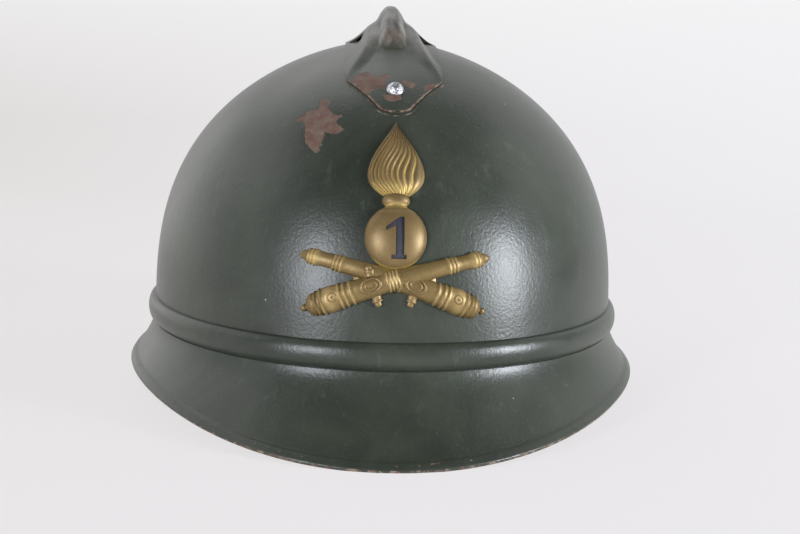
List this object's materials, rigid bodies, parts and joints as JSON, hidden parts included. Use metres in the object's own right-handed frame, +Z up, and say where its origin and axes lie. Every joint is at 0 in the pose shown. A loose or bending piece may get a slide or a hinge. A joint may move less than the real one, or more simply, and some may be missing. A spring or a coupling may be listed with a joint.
{
  "type": "steel helmet",
  "caption": "Pressed steel helmet with a ridge crest, separate visor and neck guard, brass grenade badge, tongued leather liner and chinstrap",
  "frame": {"origin": "middle of the plane that the lowest edges of the visor and of the neck guard stand on", "axes": "+Z up, the face looks along -Y, the wearer's left is +X"},
  "size_m": [0.224, 0.2944, 0.1653],
  "materials": {
    "olive_paint": "satin olive green paint, chipped and rusted at the edges",
    "rivet_steel": "worn bright soft metal",
    "badge_brass": "aged stamped brass",
    "liner_leather": "worn brown sheepskin leather",
    "lace_cord": "twisted linen lace",
    "liner_felt": "blue grey wool felt",
    "strap_leather": "brown strap leather",
    "fitting_steel": "painted mild steel",
    "spacer_aluminium": "dull corrugated sheet"
  },
  "bodies": {
    "root": {"skull": "olive_paint", "front_visor": "olive_paint", "rear_neck_guard": "olive_paint", "crest": "olive_paint", "crest_rivets": "rivet_steel", "badge": "badge_brass", "badge_prongs": "badge_brass", "liner_leather": "liner_leather", "liner_drawstring": "lace_cord", "liner_felt": "liner_felt", "chinstrap": "strap_leather", "spacer_front": "spacer_aluminium", "liner_clip_front": "fitting_steel", "spacer_rear": "spacer_aluminium", "liner_clip_rear": "fitting_steel", "spacer_left": "spacer_aluminium", "liner_clip_left": "fitting_steel", "spacer_right": "spacer_aluminium", "liner_clip_right": "fitting_steel", "strap_lug_left": "fitting_steel", "strap_lug_right": "fitting_steel"},
    "loop_left": {"strap_loop_left": "fitting_steel"},
    "loop_right": {"strap_loop_right": "fitting_steel"},
    "slide": {"strap_slide": "fitting_steel"}
  },
  "joints": [
    {"name": "loop_left_swing", "type": "hinge", "parent": "root", "child": "loop_left", "pos_m": [0.0982, 0, 0.0215], "axis": [0, 1, 0], "range_deg": [-35, 100], "deforming": ["chinstrap"]},
    {"name": "loop_right_swing", "type": "hinge", "parent": "root", "child": "loop_right", "pos_m": [-0.0982, 0, 0.0215], "axis": [0, -1, 0], "range_deg": [-35, 100], "deforming": ["chinstrap"]},
    {"name": "strap_slide_travel", "type": "slide", "parent": "root", "child": "slide", "axis": [1, 0, 0], "range_m": [-0.06, 0.045]}
  ]
}
